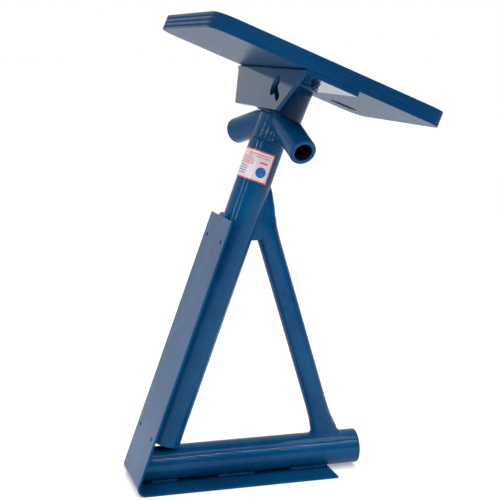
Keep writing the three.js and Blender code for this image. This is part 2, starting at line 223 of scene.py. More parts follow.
def turned(outline, place, steps=72):
    """A lathe shape: a closed outline of (radius, height) spun about its frame's Z axis."""
    bm = bmesh.new()
    verts = [bm.verts.new((p[0], 0, p[1])) for p in outline]
    edges = [bm.edges.new((verts[i - 1], verts[i])) for i in range(len(verts))
             if outline[i - 1][0] + outline[i][0] > 1e-7]
    bmesh.ops.spin(bm, geom=verts + edges, cent=(0, 0, 0), axis=(0, 0, 1), dvec=(0, 0, 0),
                   angle=2 * math.pi, steps=steps, use_merge=True, use_duplicate=False)
    bmesh.ops.transform(bm, matrix=place, verts=bm.verts)
    return tidied(bm)


def pipe(outer, bore, low, high, place, rim=0.0007, steps=72):
    """A tube with rounded rims."""
    return turned(filleted([(bore, low, rim), (outer, low, rim), (outer, high, rim),
                            (bore, high, rim)]), place, steps)


def disc(radius, low, high, place, steps=48):
    """A plain round cutter."""
    return turned([Vector(p) for p in ((0, low), (radius, low), (radius, high), (0, high))],
                  place, steps)


def slab(outline, low, high, place):
    """A flat outline in its frame's X-Y plane, drawn out from low to high along Z."""
    bm = bmesh.new()
    face = bm.faces.new([bm.verts.new((p[0], p[1], low)) for p in outline])
    drawn = bmesh.ops.extrude_face_region(bm, geom=[face])["geom"]
    moved = [v for v in drawn if isinstance(v, bmesh.types.BMVert)]
    bmesh.ops.translate(bm, vec=(0, 0, high - low), verts=moved)
    bmesh.ops.transform(bm, matrix=place, verts=bm.verts)
    return tidied(bm)


def box(x, y, z, place):
    """A plain block cutter, from its three ranges."""
    return slab([(x[0], y[0]), (x[1], y[0]), (x[1], y[1]), (x[0], y[1])], z[0], z[1], place)


def skinned(rings, segments=12, closed=False):
    """A skin through ellipses, each (frame, half-width, half-depth), with its ends filled."""
    bm = bmesh.new()
    loops = []
    for place, a, b in rings:
        stretch = Matrix.Diagonal((a, b, 1, 1))
        made = bmesh.ops.create_circle(bm, cap_ends=False, segments=segments, radius=1,
                                       matrix=place @ stretch)["verts"]
        loops.append(list({e for v in made for e in v.link_edges}))
    pairs = list(zip(loops, loops[1:]))
    if closed:
        pairs.append((loops[-1], loops[0]))
    else:
        bmesh.ops.holes_fill(bm, edges=loops[0] + loops[-1], sides=0)
    for low, high in pairs:
        bmesh.ops.bridge_loops(bm, edges=low + high)
    return tidied(bm)


def as_object(bm, name="cutter"):
    """Puts a mesh in the scene."""
    mesh = bpy.data.meshes.new(name)
    bm.to_mesh(mesh)
    bm.free()
    made = bpy.data.objects.new(name, mesh)
    bpy.context.scene.collection.objects.link(made)
    return made


def evaluated(body):
    """The mesh of an object with its modifiers worked in. The object goes."""
    graph = bpy.context.evaluated_depsgraph_get()
    mesh = bpy.data.meshes.new_from_object(body.evaluated_get(graph))
    bpy.data.objects.remove(body)
    bm = bmesh.new()
    bm.from_mesh(mesh)
    bpy.data.meshes.remove(mesh)
    return bm


def carved(bm, *tools, operation="DIFFERENCE"):
    """Cuts each tool's shape out of a body, or joins it on."""
    body = as_object(bm, "body")
    cutters = [as_object(tool) for tool in tools]
    for cutter in cutters:
        cut = body.modifiers.new("cut", "BOOLEAN")
        cut.operation = operation
        cut.solver = "EXACT"
        cut.object = cutter
    result = evaluated(body)
    for cutter in cutters:
        bpy.data.objects.remove(cutter)
    bmesh.ops.remove_doubles(result, verts=result.verts, dist=1e-6)
    bmesh.ops.dissolve_degenerate(result, edges=result.edges, dist=1e-6)
    return result


def eased(bm, width, angle=35, segments=2):
    """Rounds every edge that is sharper than an angle, in degrees."""
    bmesh.ops.dissolve_limit(bm, angle_limit=math.radians(0.5), verts=bm.verts, edges=bm.edges)
    sharp = [e for e in bm.edges
             if len(e.link_faces) == 2 and e.calc_face_angle() > math.radians(angle)]
    bmesh.ops.bevel(bm, geom=sharp, offset=width, offset_type="OFFSET", affect="EDGES",
                    segments=segments, profile=0.5, material=-1, clamp_overlap=True)
    return bm


def steps_between(low, high, count):
    """Numbers from low to high, in equal steps."""
    return [low + (high - low) * i / count for i in range(count + 1)]


def along(points):
    """Frames whose Z axis follows a line of points."""
    places = []
    for i, point in enumerate(points):
        run = (points[min(i + 1, len(points) - 1)] - points[max(i - 1, 0)]).normalized()
        places.append(Matrix.Translation(point) @ run.to_track_quat("Z", "Y").to_matrix().to_4x4())
    return places


def spread(points, step):
    """The same line with a point every step along it."""
    dense = []
    for a, b in zip(points, points[1:]):
        count = max(1, round((b - a).length / step))
        dense += [a.lerp(b, i / count) for i in range(count)]
    return dense + [points[-1]]


def weld(points, radius, place=Matrix(), pitch=0.0034, ripple=0.16, closed=False):
    """A weld bead: a rod of overlapping ripples laid along a line, tapered at its ends."""
    line = spread([place @ Vector(p) for p in points], 0.0007)
    rings = []
    reach = 0.0
    total = sum((b - a).length for a, b in zip(line, line[1:]))
    for i, spot in enumerate(along(line)):
        if i:
            reach += (line[i] - line[i - 1]).length
        swell = 1 + ripple * (abs(math.sin(math.pi * reach / pitch)) - 0.6)
        swell += 0.07 * math.sin(reach * 410 + radius * 9000)
        if not closed:
            near_end = min(reach, total - reach) / (radius * 1.2)
            swell *= math.sqrt(max(0.06, min(1.0, near_end * (2 - min(1.0, near_end)))))
        rings.append((spot, radius * swell, radius * swell))
    return skinned(rings, 10)


# ---------------------------------------------------------------- materials
class Field:
    """A socket of a material, with arithmetic: an expression on fields adds its Math nodes."""

    def __init__(self, tree, socket=None):
        self.tree = tree
        self.socket = socket

    def node(self, kind, settings=None, inputs=None, output=0):
        """Any node: its type, its settings, and the values or links of its sockets."""
        made = self.tree.nodes.new("ShaderNode" + kind)
        for name, value in (settings or {}).items():
            if name == "stops":
                for stop, (place, colour) in zip(stops_for(made, len(value)), value):
                    stop.position = place
                    stop.color = (*colour, 1) if isinstance(colour, tuple) else (colour,) * 3 + (1,)
            else:
                setattr(made, name, value)
        for name, value in (inputs or {}).items():
            if isinstance(value, Field):
                self.tree.links.new(value.socket, made.inputs[name])
            else:
                made.inputs[name].default_value = value
        return Field(self.tree, made.outputs[output])

    def math(self, operation, *values):
        return self.node("Math", {"operation": operation}, dict(enumerate(values)))

    def __add__(self, other):
        return self.math("ADD", self, other)

    def __sub__(self, other):
        return self.math("SUBTRACT", self, other)

    def __rsub__(self, other):
        return self.math("SUBTRACT", other, self)

    def __mul__(self, other):
        return self.math("MULTIPLY", self, other)

    def __truediv__(self, other):
        return self.math("DIVIDE", self, other)

    def __pow__(self, other):
        return self.math("POWER", self, other)

    def __abs__(self):
        return self.math("ABSOLUTE", self)

    __radd__ = __add__
    __rmul__ = __mul__

    def fade(self, low, high):
        """0 below low, 1 above high, and smooth between them."""
        return self.node("MapRange", {"interpolation_type": "SMOOTHSTEP"},
                         {"Value": self, "From Min": low, "From Max": high})

    def ramp(self, *stops):
        return self.node("ValToRGB", {"stops": stops}, {0: self})

    def blend(self, low, high):
        """The colour low where this is 0 and high where it is 1."""
        low, high = ((*c, 1) if isinstance(c, tuple) else c for c in (low, high))
        return self.node("Mix", {"data_type": "RGBA"}, {0: self, 6: low, 7: high}, 2)


def stops_for(ramp_node, count):
    """A colour ramp's stops, once it has the right number of them."""
    stops = ramp_node.color_ramp.elements
    while len(stops) < count:
        stops.new(0.5)
    return stops


def material(name):
    """A new empty material and the field that starts its expressions."""
    made = bpy.data.materials.new(name)
    made.use_nodes = True
    made.node_tree.nodes.clear()
    return made, Field(made.node_tree)


def object_place(start, place=None):
    """Object coordinates in millimetres, in the row's frame or in a member's own."""
    where = start.node("TexCoord", output="Object")
    if place is not None:
        back = place.inverted()
        where = start.node("Mapping", {"vector_type": "POINT"}, {
            "Vector": where, "Location": back.to_translation(), "Rotation": back.to_euler(),
        })
    return start.node("VectorMath", {"operation": "SCALE"}, {0: where, "Scale": MM})


def split(where):
    """The three numbers of a place."""
    made = where.node("SeparateXYZ", inputs={0: where})
    return [Field(where.tree, socket) for socket in made.socket.node.outputs]


def stretched(where, x, y, z):
    return where.node("VectorMath", {"operation": "MULTIPLY"}, {0: where, 1: (x, y, z)})


def noise(where, scale, detail=3.0, roughness=0.55, distortion=0.0):
    """Fractal noise, with about scale lumps in each millimetre."""
    return where.node("TexNoise", inputs={
        "Vector": where, "Scale": scale, "Detail": detail, "Roughness": roughness,
        "Distortion": distortion,
    })


def bumped(start, height, depth):
    """A surface tilted by a height field: depth is the height of 1, in metres."""
    return start.node("Bump", inputs={"Height": height, "Strength": 1.0, "Distance": depth})


def finished(made, start, inputs):
    """Joins a principled surface to the material's output."""
    surface = start.node("BsdfPrincipled", inputs=inputs)
    output = start.tree.nodes.new("ShaderNodeOutputMaterial")
    start.tree.links.new(surface.socket, output.inputs["Surface"])
    return made


PAINT = (0.0024, 0.067, 0.180)
PAINT_DEEP = (0.0014, 0.048, 0.138)
PAINT_PALE = (0.005, 0.087, 0.220)
GLOSS = 1.22                        # the paint film's refractive index
SOAKED = 1.10                       # and where it has soaked into wood


def paint_parts(start, where, texture=1.0):
    """Brushed and sprayed gloss paint: its colour, its roughness and its height."""
    cloud = noise(where, 0.018, 3.0)
    thin = noise(where, 0.11, 4.0)
    specks = noise(where, 1.3, 1.0).fade(0.70, 0.76)
    colour = cloud.fade(0.35, 0.65).blend(PAINT_DEEP, PAINT)
    colour = (thin.fade(0.45, 0.75) * 0.35).blend(colour, PAINT_PALE)
    colour = (specks * 0.30).blend(colour, (0.05, 0.16, 0.28))
    dust = noise(where, 0.045, 5.0, 0.65).fade(0.52, 0.80)
    rough = 0.035 + dust * 0.07 + thin * 0.02
    peel = noise(where, 0.35, 2.0, 0.4)
    runs = noise(stretched(where, 1, 1, 0.12), 0.12, 2.0)
    height = peel * (0.22 * texture) + runs * 0.12 + specks * 0.5
    return colour, rough, height


def blue_paint(name, duller=0.0, painted_shade=0.0, gloss=GLOSS):
    """The paint on drawn steel, darker in random patches; a copy can be darkened all over as painted
    shade, and drier ones are duller.
    """
    made, start = material(name)
    where = object_place(start)
    colour, rough, height = paint_parts(start, where)
    patches = noise(where, 0.030, 2.0)
    # random patches darken the paint; the extra darkening of a whole copy is painted shade
    return finished(made, start, {
        "Base Color": (patches * 0.2 + painted_shade).blend(colour, (0.0010, 0.012, 0.040)),
        "Roughness": rough + duller,
        "Normal": bumped(start, height, 0.00005), "IOR": gloss,
    })


def weld_paint():
    """Paint over weld: duller in the ripples, with spatter bumps and paler specks that are painted
    glints.
    """
    made, start = material("paint_over_weld")
    where = object_place(start)
    colour, rough, height = paint_parts(start, where, 1.6)
    spatter_and_glints = noise(where, 0.9, 2.0).fade(0.6, 0.72)
    # the paler specks are painted glints on the ripples; their bumps stand for spatter
    return finished(made, start, {
        "Base Color": (spatter_and_glints * 0.6).blend(colour, (0.030, 0.150, 0.300)), "Roughness": rough + 0.05,
        "Normal": bumped(start, height + spatter_and_glints, 0.00018), "IOR": GLOSS,
    })


def shaded_socket_paint():
    """Paint darkened all over as painted shade under the pad, a little more in streaky smears."""
    made, start = material("shaded_socket_paint")
    where = object_place(start)
    colour, rough, height = paint_parts(start, where)
    smear = noise(stretched(where, 1, 1, 0.4), 0.06, 4.0, 0.6).fade(0.35, 0.65)
    # at least half-way to near black everywhere: painted shade, a little darker in random smears
    return finished(made, start, {
        "Base Color": (smear * 0.25 + 0.55).blend(colour, (0.001, 0.008, 0.030)),
        "Roughness": rough + smear * 0.06, "Normal": bumped(start, height, 0.00008), "IOR": GLOSS,
    })


def casting_paint():
    """Paint over a sand casting: pebbled, darkened all over and more in the pebbling's hollows as
    painted shade, and near black deep in the arms' bores as painted shade.
    """
    made, start = material("paint_over_casting")
    where = object_place(start)
    colour, rough, height = paint_parts(start, where, 0.6)
    grains = noise(where, 0.75, 3.0, 0.6)
    lumps = noise(where, 0.13, 3.0)
    shaded_hollows = 1 - grains.fade(0.30, 0.48)
    _, _, height_in = split(object_place(start, SCREW))
    under_top = 1 - height_in.fade(HUB_K[1] * MM - 0.6, HUB_K[1] * MM)
    # near black deep inside the arms' bores: painted shade
    inside = 0.0
    for side in (-1, 1):
        x, y, out = split(object_place(start, arm_frame(side)))
        from_axis = (abs(x) ** 2 + abs(y) ** 2) ** 0.5
        in_bore = 1 - from_axis.fade(ARM_BORE * MM + 0.2, ARM_BORE * MM + 1.2)
        inside = in_bore * out.fade(15, 20) * under_top + inside
    # the whole casting darkened, more where the pebbling is low: painted shade
    colour = (shaded_hollows * 0.45 + 0.25).blend(colour, (0.001, 0.028, 0.09))
    return finished(made, start, {
        "Base Color": inside.blend(colour, (0.0010, 0.0014, 0.0030)),
        "Roughness": rough + shaded_hollows * 0.12 + inside * 0.5,
        "Normal": bumped(start, height * 0.4 + grains + lumps * 1.6, 0.00022), "IOR": GLOSS,
    })


def glint_marks_paint():
    """Paint made pale on the raised marks of the casting: painted glints."""
    made, start = material("painted_glints")
    where = object_place(start)
    colour, rough, height = paint_parts(start, where)
    glint_patches = noise(where, 0.30, 2.0).fade(0.40, 0.60)
    # pale in patches on the ribs: painted glints
    return finished(made, start, {
        "Base Color": (glint_patches * 0.6 + 0.2).blend(colour, (0.30, 0.40, 0.52)),
        "Roughness": rough + 0.08, "Normal": bumped(start, height, 0.00005), "IOR": GLOSS,
    })


def plywood_paint():
    """Paint soaked into plywood: plies on the edges, grain and patches on the faces."""
    made, start = material("painted_plywood")
    where = object_place(start, PAD)
    along_u, across_y, height_in = split(where)
    facing = start.node("TexCoord", output="Normal")
    end_tilt, tilt = (start.node("VectorMath", {"operation": "DOT_PRODUCT"},
                                 {0: facing, 1: PAD.to_3x3().col[i]}, output="Value")
                      for i in (0, 2))
    on_edge = 1 - abs(tilt).fade(0.55, 0.75)
    on_end = abs(end_tilt).fade(0.55, 0.72) * on_edge
    ply = height_in * (PLIES / (PAD_T * MM)) + noise(stretched(where, 1, 1, 0), 0.03) * 0.10
    odd = ply.math("FRACT", ply * 0.5).fade(0.47, 0.53)
    within = ply.math("FRACT", ply)
    glue = (abs(within - 0.5) * 2).fade(0.0, 1.0) ** 8
    cross = on_end * odd + (on_edge - on_end * on_edge) * (1 - odd) * 0.22
    end_grain = noise(stretched(where, 1, 1, 1.6), 0.9, 3.0, 0.6)
    face_grain = noise(stretched(where, 0.05, 1.0, 1.0), 0.42, 4.0, 0.62, 0.3)
    pores = noise(stretched(where, 0.06, 1.0, 1.0), 1.4, 2.0).fade(0.60, 0.72)
    sweep = noise(stretched(where, 0.12, 1.0, 1.0), 0.035, 2.0, 0.5, 0.6)
    # a dark, sunken oval patch on the pad's underside
    oval_reach = (abs((along_u - DARK_OVAL_AT[0]) / DARK_OVAL_SIZE[0]) ** 2
            + abs((across_y - DARK_OVAL_AT[1]) / DARK_OVAL_SIZE[1]) ** 2)
    dark_oval = (1 - oval_reach.fade(0.75, 1.1)) * (1 - tilt.fade(-0.8, -0.6))
    colour = sweep.fade(0.35, 0.65).blend((0.0012, 0.030, 0.088), (0.0022, 0.042, 0.115))
    colour = (face_grain.fade(0.45, 0.75) * 0.40).blend(colour, (0.007, 0.072, 0.170))
    colour = (pores * 0.5).blend(colour, (0.0012, 0.030, 0.095))
    colour = (cross * end_grain.fade(0.30, 0.62) * 0.7).blend(colour, (0.0012, 0.034, 0.105))
    colour = (glue * (on_end * 0.60 + on_edge * 0.05)).blend(colour, (0.0008, 0.018, 0.060))
    colour = dark_oval.blend(colour, (0.0006, 0.010, 0.035))
    rough = 0.22 + face_grain * 0.14 + pores * 0.1 + cross * 0.40 + dark_oval * 0.5
    grain_height = face_grain * 0.9 + sweep * 0.8 - pores * 0.9
    height = (grain_height * (1 - on_edge) + (end_grain * 2.2 * cross - cross * 1.8) * on_edge
              + face_grain * 0.5 * on_edge - glue * (on_end * 1.6 + on_edge * 0.35) - dark_oval * 3.0)
    return finished(made, start, {
        "Base Color": colour, "Roughness": rough, "Normal": bumped(start, height, 0.00014),
        "IOR": SOAKED,
    })


def bare_steel():
    """Oiled machined steel: fine rings about the screw's axis and a trace of grease."""
    made, start = material("oiled_steel")
    where = object_place(start, SCREW)
    rings = noise(stretched(where, 0.05, 0.05, 3.0), 1.2, 3.0)
    grease = noise(where, 0.12, 4.0, 0.6).fade(0.45, 0.68)
    colour = rings.fade(0.3, 0.7).blend((0.30, 0.30, 0.31), (0.46, 0.46, 0.47))
    colour = (grease * 0.75).blend(colour, (0.060, 0.046, 0.030))
    return finished(made, start, {
        "Base Color": colour, "Metallic": 1 - grease * 0.5,
        "Roughness": 0.28 + rings * 0.14 + grease * 0.16,
        "Normal": bumped(start, rings + grease * 0.6, 0.00003),
    })


def fastener_paint():
    """Thin paint over plated fasteners, rubbed off in places."""
    made, start = material("painted_fastener")
    where = object_place(start)
    colour, rough, height = paint_parts(start, where, 1.2)
    worn = noise(where, 0.55, 4.0, 0.65).fade(0.62, 0.74)
    return finished(made, start, {
        "Base Color": worn.blend((0.001, 0.030, 0.095), (0.34, 0.35, 0.36)),
        "Metallic": worn * 0.9, "Roughness": rough + 0.1 + worn * 0.1,
        "Normal": bumped(start, height - worn * 0.8, 0.00010),
    })


def label_film():
    """Printed film: a border, plain bars and a round spot under a short bar, no words."""
    made, start = material("label_film")
    where = start.node("UVMap", {"uv_map": "print"})
    across, up, _ = split(where)
    grime = noise(where, 9.0, 4.0, 0.6)

    def span(value, low, high, soft=0.008):
        return value.fade(low - soft, low + soft) * (1 - value.fade(high - soft, high + soft))

    def patch(x, y):
        return span(across, *x) * span(up, *y)

    paper = grime.fade(0.35, 0.75).blend((0.66, 0.62, 0.65), (0.54, 0.49, 0.53))
    inside = patch((0.03, 0.965), (0.045, 0.955))
    border = 1 - inside
    breaks = noise(where, 30.0, 1.0).fade(0.38, 0.44)
    red_rows = sum((patch((0.30, 0.90), (y, y + 0.035)) for y in (0.85, 0.775)), 0.0)
    left_rows = sum((patch((0.08, 0.50), (y, y + 0.030)) for y in (0.70, 0.635, 0.57, 0.505)), 0.0)
    dark_rows = sum((patch((0.08, 0.36), (y, y + 0.028)) for y in (0.40, 0.32, 0.24, 0.16)), 0.0)
    bar = patch((0.66, 0.86), (0.60, 0.66))
    from_middle = abs((across - 0.76) * 1.27) ** 2 + abs(up - 0.33) ** 2
    spot = 1 - from_middle.fade(0.027, 0.031)
    colour = border.blend(paper, (0.50, 0.035, 0.030))
    colour = ((red_rows + left_rows) * breaks).blend(colour, (0.55, 0.07, 0.06))
    colour = (dark_rows * breaks).blend(colour, (0.04, 0.08, 0.22))
    colour = bar.blend(colour, (0.72, 0.075, 0.03))
    colour = spot.blend(colour, (0.012, 0.10, 0.36))
    return finished(made, start, {
        "Base Color": colour, "Roughness": 0.20 + grime * 0.16,
        "Normal": bumped(start, grime, 0.00004),
    })


paint = blue_paint("blue_gloss_paint")
# a slightly darker copy of the paint for the bar: painted shade
shaded_bar_paint = blue_paint("flat_bar_paint", painted_shade=0.06, gloss=1.165)
over_weld = weld_paint()
over_casting = casting_paint()
socket_shade_paint = shaded_socket_paint()
glint_paint = glint_marks_paint()
# a much darker copy of the paint for the bracket under the pad: painted shade
shaded_bracket_paint = blue_paint("shaded_bracket_paint", duller=0.07, painted_shade=0.38)
ply_paint = plywood_paint()
steel = bare_steel()
fastener = fastener_paint()
film = label_film()


# ---------------------------------------------------------------- pieces
def piece(name, bm, look, body, slot, *nodes, smooth=38, flat_faced=False):
    """Makes a shape a shaded piece that rides on a body and stands for the nodes named."""
    made = as_object(bm, name)
    made.data.materials.clear()
    made.data.materials.append(look)
    made.data.polygons.foreach_set("use_smooth", [True] * len(made.data.polygons))
    made.data.set_sharp_from_angle(angle=math.radians(smooth))
    if flat_faced:
        even = made.modifiers.new("even_shading", "WEIGHTED_NORMAL")
        even.keep_sharp = True
    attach(made, body)
    if nodes:
        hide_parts(*nodes)
    return made


SIDES = (("near", -1), ("far", 1))
SIDE_VIEW = axes(Vector((1, 0, 0)), Vector((0, 0, 1)), Vector((0, -1, 0)), Vector((0, 0, 0)))
QUARTER = Matrix.Rotation(math.pi / 2, 4, "Y")


def bar_outline(thickness=BAR_T, outer=BAR_BEND):
    """Side view of the bar: down the side leg, round the bend and along the base leg."""
    reach = BAR_BEND / math.tan((math.pi / 2 - POST_LEAN) / 2)

    def arc(radius, steps=14):
        for i in range(steps + 1):
            a = math.pi - POST_LEAN + (i / steps) * (math.pi / 2 + POST_LEAN)
            yield reach + radius * math.cos(a), BAR_BEND + radius * math.sin(a)

    top = post_up * BAR_SIDE
    inner_top = top + post_side * thickness
    return [(top.x, top.z), *arc(outer), (BAR_BASE, 0), (BAR_BASE, thickness),
            *reversed(list(arc(BAR_BEND - thickness))), (inner_top.x, inner_top.z)]


def flat_bar():
    """The bar bent to an open L, with four holes in its side leg."""
    place = Matrix.Translation(CORNER) @ SIDE_VIEW
    bar = slab(bar_outline(), -BAR_W / 2, BAR_W / 2, place)
    holes = [disc(BAR_HOLE_R, -0.005, 0.010, BAR @ Matrix.Translation((0, y, s)) @ QUARTER, 24)
             for s in BAR_HOLE_ROWS for y in (-BAR_HOLE_Y, BAR_HOLE_Y)]
    bar = eased(carved(bar, *holes), 0.0005)
    piece("flat_bar", bar, shaded_bar_paint, "frame", "blue_paint", "bent_bar", flat_faced=True)


def pipes():
    """The post, cut to sit on the base tube and under the nut, and the coped base tube."""
    base_room = disc(PIPE_R + TOUCH, -0.03, 0.32, BASE, 72)
    sideways = (-BEYOND, BEYOND)
    bar_room = box((-BEYOND, TOUCH - PIPE_R), sideways, (0, BAR_SIDE + 0.001), POST)
    nut_room = box(sideways, sideways, (HUB_K[0] - TOUCH, 0.1), SCREW)
    post = carved(pipe(PIPE_R, PIPE_BORE, POST_ENDS[0], POST_ENDS[1] + 0.006, POST), base_room,
                  bar_room, nut_room)
    piece("post_pipe", post, paint, "frame", "blue_paint", "post_tube")
    side_room = box((-0.09, BAR_T + TOUCH), sideways, (-BEYOND, 0.4), BAR)
    floor_room = box((-0.02, BAR_BASE + 0.001), sideways, (-0.02, BAR_T + TOUCH),
                     Matrix.Translation(CORNER))
    bend_room = slab(bar_outline(BAR_T + TOUCH, BAR_BEND + 0.003), *sideways,
                     Matrix.Translation(CORNER) @ SIDE_VIEW)
    base = carved(pipe(PIPE_R, PIPE_BORE, -0.02, BASE_END, BASE, rim=0.0012), side_room,
                  floor_room, bend_room)
    piece("base_pipe", base, paint, "frame", "blue_paint", "base_tube")


def brace_widths(height):
    """The brace's half-widths at a height along it, smooth between the shape's stations."""
    for (z0, a0, b0), (z1, a1, b1) in zip(BRACE_SHAPE, BRACE_SHAPE[1:]):
        if height <= z1:
            f = max(0.0, (height - z0) / (z1 - z0))
            f = f * f * (3 - 2 * f) if abs(a1 - a0) > 0.0015 else f
            return a0 + (a1 - a0) * f, b0 + (b1 - b0) * f
    return BRACE_SHAPE[-1][1:]


def brace_skin(grow, low=0.022, high=0.408):
    """The brace's outside, grown or shrunk by a thickness."""
    rings = []
    for z in steps_between(low, high, 96):
        a, b = brace_widths(z)
        rings.append((BRACE @ Matrix.Translation((0, 0, z)), a + grow, b + grow))
    return skinned(rings, 48)


def brace_pipe():
    """The thinner pipe with pressed ends, cut to fit the post and the base tube."""
    post_room = disc(PIPE_R + TOUCH, 0, 0.48, POST, 72)
    beyond_post = box((-0.4, 0), (-BEYOND, BEYOND), (0, 0.6), POST)
    base_room = disc(PIPE_R + TOUCH, -0.03, 0.32, BASE, 72)
    under = box((0, 0.4), (-BEYOND, BEYOND), (-0.1, BAR_T + PIPE_R), Matrix.Translation(CORNER))
    brace = carved(brace_skin(0), brace_skin(-BRACE_WALL, 0.015, 0.415), post_room, beyond_post,
                   base_room, under)
    piece("brace_pipe", brace, paint, "frame", "blue_paint", "brace_tube")


def axis_gap(point, member):
    """How far a point is from a member's axis, less the pipe's radius."""
    local = member.inverted() @ point
    return math.hypot(local.x, local.y) - PIPE_R


def brace_point(height, angle):
    """A point on the brace's surface."""
    a, b = brace_widths(height)
    return BRACE @ Vector((a * math.cos(angle), b * math.sin(angle), height))


def crossing(inside, outside, at, member):
    """The parameter between inside and outside where a line of points leaves a member."""
    for _ in range(24):
        middle = (inside + outside) / 2
        if axis_gap(at(middle), member) > 0:
            outside = middle
        else:
            inside = middle
    return at(outside)


def seams():
    """Stitch welds in the grooves beside the bar, on both sides of both tubes."""
    base_seat = axes(Vector((0, 0, 1)), ACROSS, Vector((-1, 0, 0)),
                     CORNER + Vector((0, 0, BAR_T + PIPE_R)))
    base_runs = [(-high, -low) for low, high in BASE_SEAMS]
    for word, side in SIDES:
        for tube, seat, runs in (("base", base_seat, base_runs), ("post", POST, POST_SEAMS)):
            for i, run in enumerate(runs, 1):
                line = [(-STITCH_AT[0], side * STITCH_AT[1], end) for end in run]
                piece(f"{tube}_stitch_{word}_{i}", weld(line, STITCH_R, seat), over_weld, "frame",
                      "blue_paint", f"{tube}_seam_{word}_{i}")


def joint_welds():
    """The welds at the post's foot, round the brace's foot, in the apex and on the bar's top."""
    foot = [Vector((PIPE_R * math.cos(a), PIPE_R * math.sin(a), 0))
            for a in steps_between(*(math.radians(d) for d in FOOT_WELD_ANGLES), 14)]
    foot_line = [crossing(0.02, 0.12, lambda s, p=p: POST @ (p + Vector((0, 0, s))), BASE)
                 for p in foot]
    piece("post_foot_weld", weld(foot_line, JOINT_WELD_R), over_weld, "frame", "blue_paint",
          "post_foot_bead")

    ring = [crossing(0.022, 0.085, lambda s, a=a: brace_point(s, a), BASE)
            for a in steps_between(0, 2 * math.pi, 48)]
    piece("brace_foot_weld", weld(ring, JOINT_WELD_R, closed=True), over_weld, "frame",
          "blue_paint", "brace_foot_bead")

    left = POST @ Vector((PIPE_R - 0.003, 0, (APEX_Z - POST.translation.z) / post_up.z))
    right = BRACE @ Vector((-0.0103, 0, APEX_Z / brace_up.z))
    tip = BRACE @ Vector((0, 0, 0.345))
    fill = slab([(left.x, APEX_Z), (right.x, APEX_Z), (tip.x, tip.z)], -APEX_HALF, APEX_HALF,
                SIDE_VIEW)
    piece("apex_weld", eased(fill, 0.0022, segments=4), paint, "frame", "blue_paint", "apex_bead")

    for word, side in SIDES:
        crease = [crossing(math.pi, math.pi * (1 - side), lambda a, s=s: brace_point(s, a), POST)
                  for s in steps_between(*CREASE_Z, 24)]
        piece(f"crease_weld_{word}", weld(crease, CREASE_R, ripple=0.10), over_weld, "frame",
              "blue_paint")

    top = [BAR @ Vector((BAR_T + 0.0004, y, BAR_SIDE + 0.0016))
           for y in steps_between(-TOP_WELD_HALF, TOP_WELD_HALF, 20)]
    piece("bar_top_weld", weld(top, STITCH_R), over_weld, "frame", "blue_paint", "bar_top_bead")


def label_sheet():
    """The film on the post, with its own map for the print."""
    bm = bmesh.new()
    bm.loops.layers.uv.new("print")
    bmesh.ops.create_grid(bm, x_segments=36, y_segments=12, size=0.5, calc_uvs=True)
    radius = PIPE_R + TOUCH
    first, last = LABEL_ANGLES
    for v in bm.verts:
        angle = -(last + (first - last) * (v.co.x + 0.5))
        height = LABEL_S[0] + (LABEL_S[1] - LABEL_S[0]) * (v.co.y + 0.5)
        v.co = Vector((radius * math.cos(angle), radius * math.sin(angle), height))
    bmesh.ops.recalc_face_normals(bm, faces=bm.faces)
    any_face = next(iter(bm.faces))
    if any_face.normal.dot(any_face.calc_center_median() * Vector((1, 1, 0))) < 0:
        bmesh.ops.reverse_faces(bm, faces=bm.faces)
    bmesh.ops.solidify(bm, geom=bm.faces, thickness=-0.00022)
    bmesh.ops.transform(bm, matrix=POST, verts=bm.verts)
    piece("label_sheet", bm, film, "frame", "label_film", "label")


def cast_marks():
    """Short raised ribs in columns on the hub's side."""
    marks = bmesh.new()
    for column, (angle, rows) in enumerate(MARK_COLUMNS):
        turn = Matrix.Rotation(math.radians(angle), 4, "Z")
        for row in range(rows):
            height = HUB_K[0] + 0.0040 + row * MARK_PITCH + (column % 2) * 0.0009
            at = SCREW @ turn @ Matrix.Translation((HUB_R, 0, height))
            block = bmesh.ops.create_cube(marks, size=1, matrix=at @ Matrix.Diagonal(MARK_SIZE))
            edges = list({e for v in block["verts"] for e in v.link_edges})
            bmesh.ops.bevel(marks, geom=edges, offset=0.0003, offset_type="OFFSET",
                            affect="EDGES", segments=2, profile=0.5, material=-1)
    return tidied(marks)


def cast_nut():
    """Hub and two drooping arms run together as one casting, then bored."""
    top = HUB_K[1] + HUB_LAND
    hub = turned(filleted([(0, HUB_K[0], 0), (HUB_R, HUB_K[0], 0.0016), (HUB_R, top, 0.0010),
                           (0, top, 0)]), SCREW)
    arms = [turned(filleted([(0, 0, 0), (ARM_R, 0, 0.001), (ARM_R, ARM_L, ARM_RIM),
                             (0, ARM_L, 0)], 6), arm_frame(side)) for side in (-1, 1)]
    body = as_object(carved(hub, *arms, operation="UNION"), "casting")
    fine = body.modifiers.new("fine", "REMESH")
    fine.mode = "VOXEL"
    fine.voxel_size = 0.0009
    even = body.modifiers.new("even", "SMOOTH")
    even.factor = 0.5
    even.iterations = 3
    body = evaluated(body)
    above = box((-0.12, 0.12), (-0.12, 0.12), (top, top + 0.06), SCREW)
    bore = disc(NUT_BORE, 0, 0.06, SCREW, 64)
    sockets = [turned(filleted([(0, ARM_L - ARM_BORE_DEPTH - 0.004, 0),
                                (ARM_BORE, ARM_L - ARM_BORE_DEPTH, 0),
                                (ARM_BORE, ARM_L - 0.0011, 0), (ARM_BORE + 0.0014, ARM_L + 0.0002, 0),
                                (ARM_BORE + 0.0014, ARM_L + 0.01, 0), (0, ARM_L + 0.01, 0)]),
                      arm_frame(side), 64) for side in (-1, 1)]
    body = carved(body, above, bore, *sockets)
    piece("cast_nut", body, over_casting, "handle", "painted_casting", "handle_nut", smooth=50)
    spigot = pipe(PILOT_R, NUT_BORE, PILOT_K, HUB_K[0] + 0.002, SCREW)
    piece("nut_spigot", spigot, over_casting, "handle", "painted_casting")
    piece("cast_marks", cast_marks(), glint_paint, "handle", "painted_casting")


